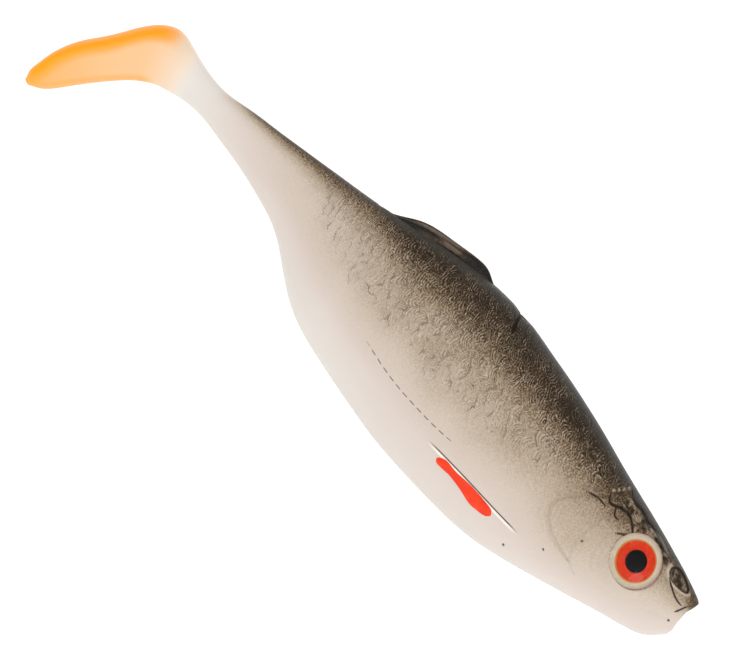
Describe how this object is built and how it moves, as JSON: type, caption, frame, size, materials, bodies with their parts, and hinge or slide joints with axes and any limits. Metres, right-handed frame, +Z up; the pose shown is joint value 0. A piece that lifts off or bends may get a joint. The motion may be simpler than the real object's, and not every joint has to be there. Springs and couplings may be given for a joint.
{
  "type": "soft swimbait",
  "caption": "Soft plastic bait fish with a boot tail, domed eyes and folding dorsal fin; it bends along the trunk and kicks its paddle at the ankle.",
  "frame": {"origin": "middle of the flat nose face, where a jig head seats", "axes": "+X forward out of the nose, +Y to the fish's left, +Z up out of its back"},
  "size_m": [0.18, 0.0252, 0.0459],
  "materials": {
    "trunk_plastisol": "cream plastisol, dark airbrushed back, satin",
    "tail_plastisol": "orange translucent plastisol, smooth gloss",
    "dark_fin_plastisol": "dark brown plastisol, glossy, rayed",
    "red_fin_plastisol": "red-orange plastisol, smooth",
    "eye_adhesive": "cream acrylic foam pad",
    "eye_foil": "red printed foil with a gold rim",
    "eye_pupil": "black print",
    "eye_lens": "clear domed resin"
  },
  "bodies": {
    "trunk_front": {"front_body": "trunk_plastisol", "eye_adhesive_right": "eye_adhesive", "eye_foil_right": "eye_foil", "eye_pupil_right": "eye_pupil", "eye_lens_right": "eye_lens", "pectoral_fin_right": "red_fin_plastisol", "eye_adhesive_left": "eye_adhesive", "eye_foil_left": "eye_foil", "eye_pupil_left": "eye_pupil", "eye_lens_left": "eye_lens", "pectoral_fin_left": "red_fin_plastisol"},
    "trunk_middle": {"mid_body": "trunk_plastisol"},
    "trunk_rear": {"rear_body": "trunk_plastisol"},
    "stalk_front": {"tail_stalk_front": "trunk_plastisol"},
    "stalk_middle": {"tail_stalk_middle": "trunk_plastisol"},
    "stalk_rear": {"tail_stalk_rear": "trunk_plastisol"},
    "tail": {"paddle": "tail_plastisol"},
    "fin": {"dorsal_fin": "dark_fin_plastisol"}
  },
  "joints": [
    {"name": "trunk_bend", "type": "hinge", "parent": "trunk_front", "child": "trunk_middle", "pos_m": [-0.0756, 0, 0], "axis": [0, 0, 1], "range_deg": [-12, 12], "stiffness_Nm_per_rad": 0.15},
    {"name": "rear_bend", "type": "hinge", "parent": "trunk_middle", "child": "trunk_rear", "pos_m": [-0.1125, 0, 0], "axis": [0, 0, 1], "range_deg": [-22, 22], "stiffness_Nm_per_rad": 0.04},
    {"name": "stalk_bend", "type": "hinge", "parent": "trunk_rear", "child": "stalk_front", "pos_m": [-0.1278, 0, 0], "axis": [0, 0, 1], "range_deg": [-30, 30], "stiffness_Nm_per_rad": 0.02},
    {"name": "stalk_lift", "type": "hinge", "parent": "stalk_front", "child": "stalk_middle", "pos_m": [-0.1368, 0, 0.00109], "axis": [0, 1, 0], "range_deg": [-20, 20], "stiffness_Nm_per_rad": 0.02},
    {"name": "stalk_twist", "type": "hinge", "parent": "stalk_middle", "child": "stalk_rear", "pos_m": [-0.14382, 0, 0.00073], "axis": [1, 0, 0], "range_deg": [-30, 30], "stiffness_Nm_per_rad": 0.01},
    {"name": "tail_kick", "type": "hinge", "parent": "stalk_rear", "child": "tail", "pos_m": [-0.15246, 0, 0], "axis": [0, 0, 1], "range_deg": [-45, 45], "stiffness_Nm_per_rad": 0.01},
    {"name": "dorsal_fin_fold", "type": "hinge", "parent": "trunk_middle", "child": "fin", "pos_m": [-0.10854, 0, 0.01108], "axis": [0.9718, 0, 0.2358], "range_deg": [-30, 30], "stiffness_Nm_per_rad": 0.002}
  ]
}
